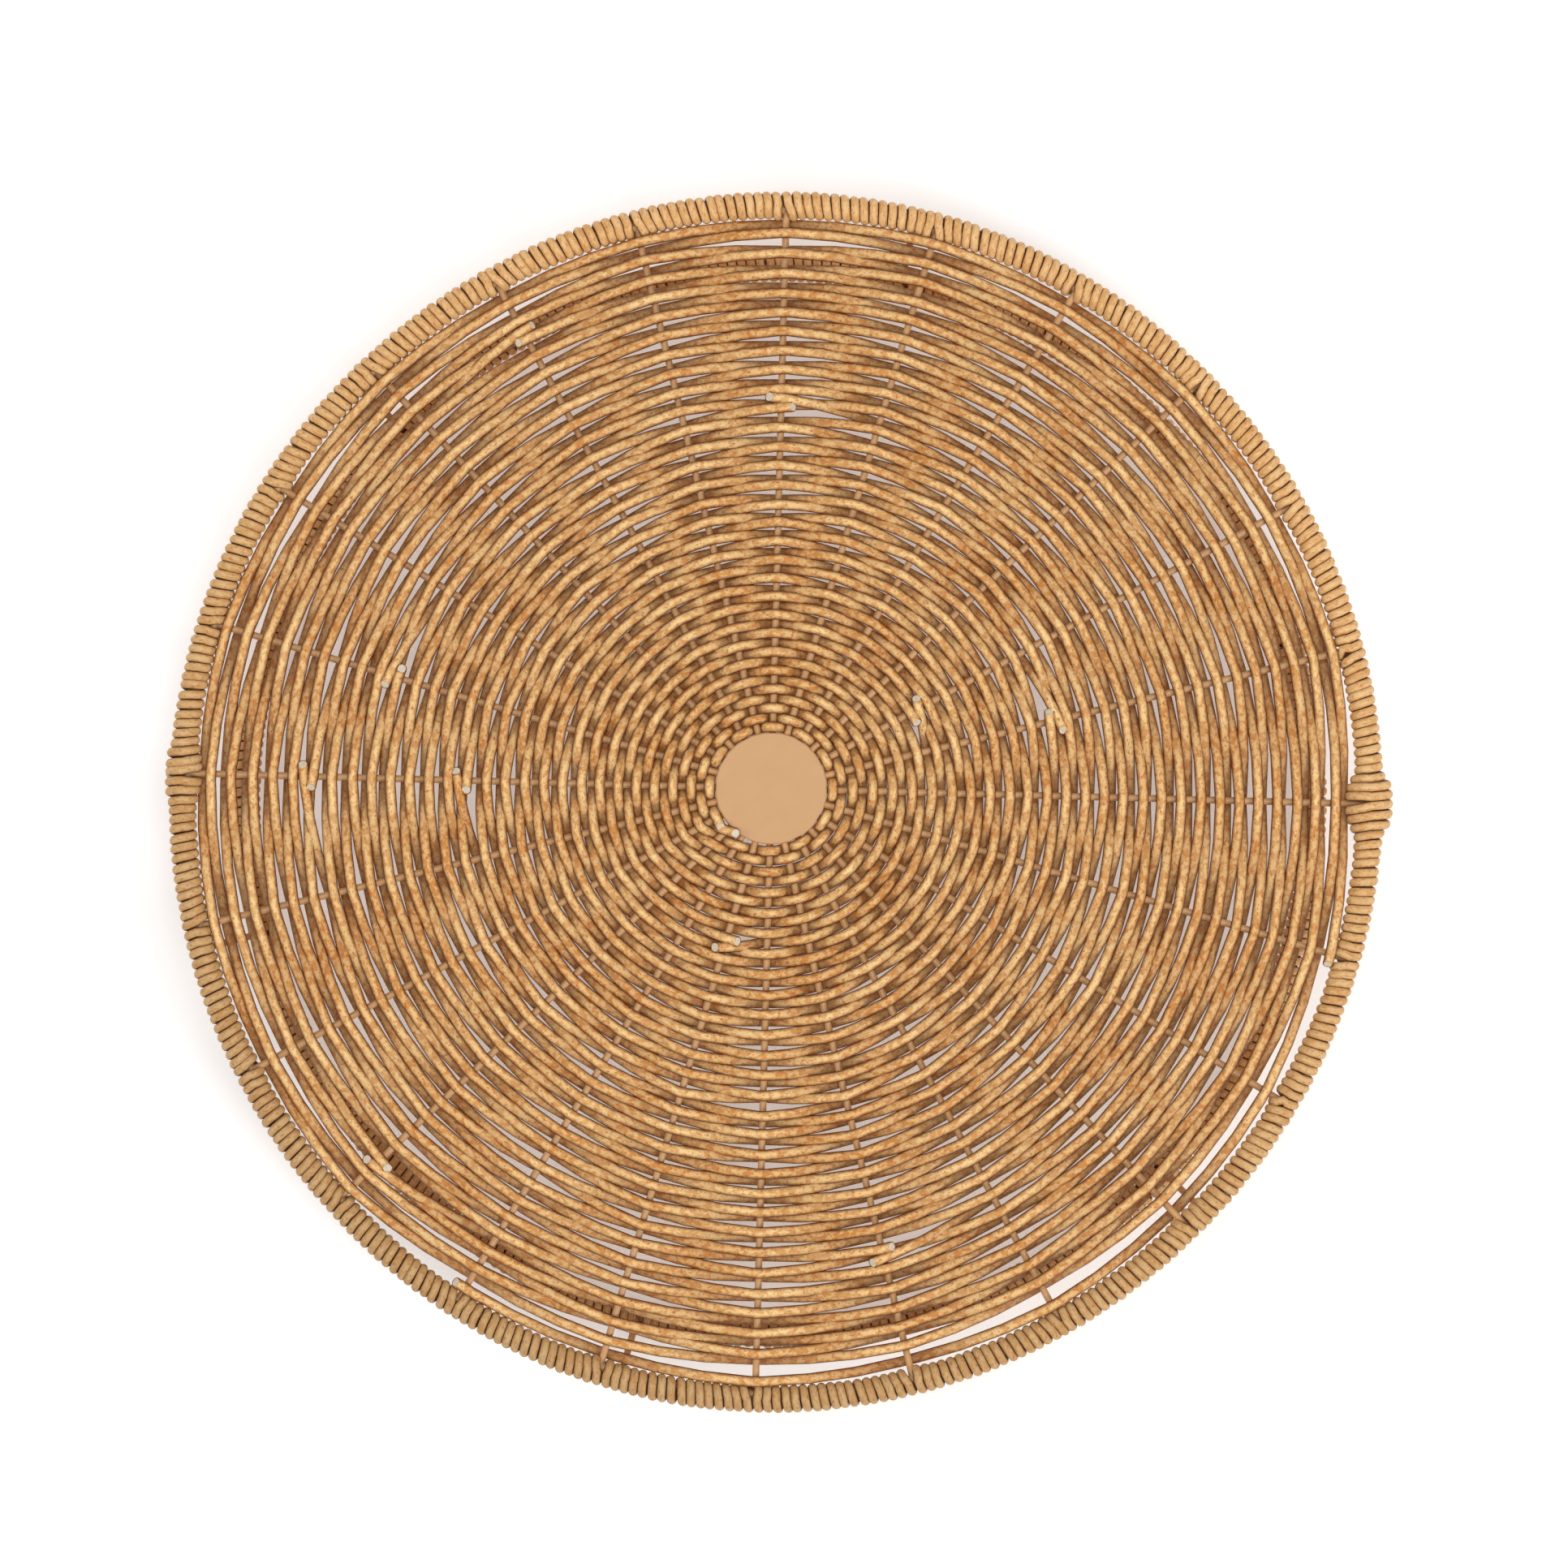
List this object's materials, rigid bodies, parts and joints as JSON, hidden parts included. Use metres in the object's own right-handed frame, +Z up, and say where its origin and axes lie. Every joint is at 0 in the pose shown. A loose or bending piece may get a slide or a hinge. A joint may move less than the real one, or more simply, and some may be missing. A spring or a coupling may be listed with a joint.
{
  "type": "round woven tray",
  "caption": "Flat round woven tray of plastic rattan strand over a fan of painted wire spokes, with a wrapped wire rim, a round metal hub disc and a wrapped foot ring.",
  "frame": {"origin": "on the floor under the middle of the rim, at the level the foot ring rests on", "axes": "+Z up through the tray, its shortest side; the tray lies level in the XY plane"},
  "size_m": [0.3843, 0.38, 0.037],
  "materials": {
    "hub_paint": "smooth satin tan paint on sheet metal",
    "wire_paint": "satin brown paint on round wire",
    "wrap_strand": "straw coloured round strand with mottled print",
    "weave_strand": "honey and straw coloured round strand with mottled print",
    "strand_core": "off-white core seen at cut ends"
  },
  "bodies": {
    "root": {"hub_disc": "hub_paint", "rim_wire": "wire_paint", "foot_ring_wire": "wire_paint", "spoke_01": "wire_paint", "spoke_02": "wire_paint", "spoke_03": "wire_paint", "spoke_04": "wire_paint", "spoke_05": "wire_paint", "spoke_06": "wire_paint", "spoke_07": "wire_paint", "spoke_08": "wire_paint", "spoke_09": "wire_paint", "spoke_10": "wire_paint", "spoke_11": "wire_paint", "spoke_12": "wire_paint", "spoke_13": "wire_paint", "spoke_14": "wire_paint", "spoke_15": "wire_paint", "spoke_16": "wire_paint", "spoke_17": "wire_paint", "spoke_18": "wire_paint", "spoke_19": "wire_paint", "spoke_20": "wire_paint", "spoke_21": "wire_paint", "spoke_22": "wire_paint", "spoke_23": "wire_paint", "spoke_24": "wire_paint", "strut_1": "wire_paint", "strut_2": "wire_paint", "strut_3": "wire_paint", "strut_4": "wire_paint", "strut_5": "wire_paint", "strut_6": "wire_paint", "rim_wrap_back": "wrap_strand", "rim_wrap_front": "wrap_strand", "foot_wrap_back": "wrap_strand", "foot_wrap_front": "wrap_strand", "weaver_a1": "weave_strand", "weaver_a2": "weave_strand", "weaver_a3": "weave_strand", "weaver_a4": "weave_strand", "weaver_a5": "weave_strand", "weaver_a6": "weave_strand", "weaver_b1": "weave_strand", "weaver_b2": "weave_strand", "weaver_b3": "weave_strand", "weaver_b4": "weave_strand", "weaver_b5": "weave_strand", "weaver_b6": "weave_strand"}
  },
  "joints": []
}
